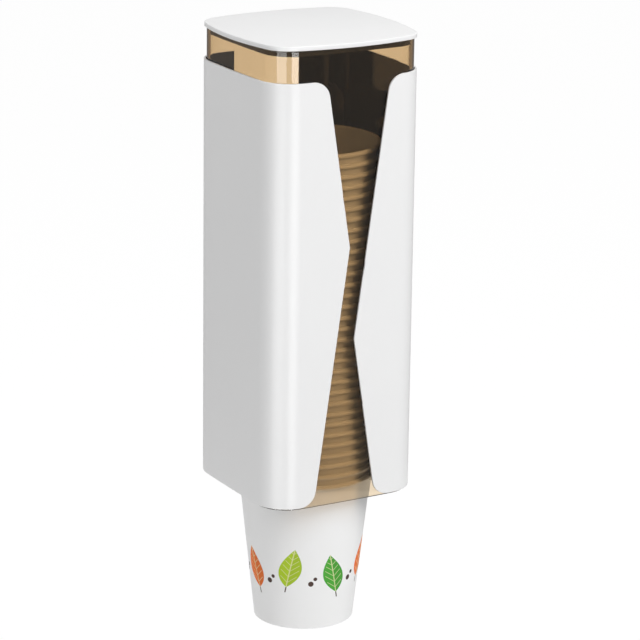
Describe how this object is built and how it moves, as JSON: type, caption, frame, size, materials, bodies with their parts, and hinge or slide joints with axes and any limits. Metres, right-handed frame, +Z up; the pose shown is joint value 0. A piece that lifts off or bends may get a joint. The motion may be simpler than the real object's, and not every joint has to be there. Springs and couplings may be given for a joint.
{
  "type": "cup dispenser",
  "caption": "Wall-mounted pull-type dispenser for nested paper cups: white shell with a narrowing window round an amber tube, flat lid, and a cup hanging ready below.",
  "frame": {"origin": "on the wall, at the middle of the adhesive pad, which is level with the middle of the shell's height", "axes": "+Z up along the stack of cups, +Y into the wall, -Y towards the user and the window, +X to the right as seen from the front"},
  "size_m": [0.0956, 0.104, 0.3259],
  "materials": {
    "shell_white": "gloss",
    "lid_white": "satin",
    "seal_rubber": "matte",
    "amber_tube": "gloss",
    "white_moulding": "satin",
    "catch_moulding": "satin",
    "housing_moulding": "gloss",
    "bright_steel": "satin",
    "zinc_steel": "satin",
    "foam_pad": "matte",
    "cup_paper": "matte"
  },
  "bodies": {
    "wall_mount": {"wall_plate": "white_moulding", "adhesive_pad": "foam_pad"},
    "dispenser": {"shell": "shell_white", "cup_tube": "amber_tube", "hanger": "white_moulding", "hanger_screws": "zinc_steel", "catch_housing_front_right": "housing_moulding", "catch_pin_front_right": "bright_steel", "catch_spring_front_right": "bright_steel", "catch_housing_back_right": "housing_moulding", "catch_pin_back_right": "bright_steel", "catch_spring_back_right": "bright_steel", "catch_housing_back_left": "housing_moulding", "catch_pin_back_left": "bright_steel", "catch_spring_back_left": "bright_steel", "catch_housing_front_left": "housing_moulding", "catch_pin_front_left": "bright_steel", "catch_spring_front_left": "bright_steel"},
    "lid": {"lid": "lid_white", "lid_seal": "seal_rubber"},
    "cup_stack": {"stack_walls": "cup_paper", "stack_bases": "cup_paper"},
    "served_cup": {"served_cup_wall": "cup_paper", "served_cup_base": "cup_paper"},
    "catch_front_right": {"catch_front_right": "catch_moulding"},
    "catch_back_right": {"catch_back_right": "catch_moulding"},
    "catch_back_left": {"catch_back_left": "catch_moulding"},
    "catch_front_left": {"catch_front_left": "catch_moulding"}
  },
  "joints": [
    {"name": "dispenser_lift_off", "type": "slide", "parent": "wall_mount", "child": "dispenser", "axis": [0, 0, 1], "range_m": [0, 0.014]},
    {"name": "lid_lift_off", "type": "slide", "parent": "dispenser", "child": "lid", "axis": [0, 0, 1], "range_m": [0, 0.03]},
    {"name": "cup_pull", "type": "slide", "parent": "dispenser", "child": "served_cup", "axis": [0, 0, -1], "range_m": [0, 0.095]},
    {"name": "stack_drop", "type": "slide", "parent": "dispenser", "child": "cup_stack", "axis": [0, 0, -1], "range_m": [0, 0.00583]},
    {"name": "catch_swing_front_right", "type": "hinge", "parent": "dispenser", "child": "catch_front_right", "pos_m": [0.03055, -0.08675, -0.1095], "axis": [-0.7071, -0.7071, 0], "range_deg": [0, 50], "stiffness_Nm_per_rad": 0.01, "springref_deg": -20.05, "deforming": ["catch_spring_front_right"]},
    {"name": "catch_swing_back_right", "type": "hinge", "parent": "dispenser", "child": "catch_back_right", "pos_m": [0.03055, -0.02565, -0.1095], "axis": [0.7071, -0.7071, 0], "range_deg": [0, 50], "stiffness_Nm_per_rad": 0.01, "springref_deg": -20.05, "deforming": ["catch_spring_back_right"]},
    {"name": "catch_swing_back_left", "type": "hinge", "parent": "dispenser", "child": "catch_back_left", "pos_m": [-0.03055, -0.02565, -0.1095], "axis": [0.7071, 0.7071, 0], "range_deg": [0, 50], "stiffness_Nm_per_rad": 0.01, "springref_deg": -20.05, "deforming": ["catch_spring_back_left"]},
    {"name": "catch_swing_front_left", "type": "hinge", "parent": "dispenser", "child": "catch_front_left", "pos_m": [-0.03055, -0.08675, -0.1095], "axis": [-0.7071, 0.7071, 0], "range_deg": [0, 50], "stiffness_Nm_per_rad": 0.01, "springref_deg": -20.05, "deforming": ["catch_spring_front_left"]}
  ],
  "couplings": [
    {"joint": "stack_drop", "follows": "cup_pull", "ratio": 0.061263}
  ]
}
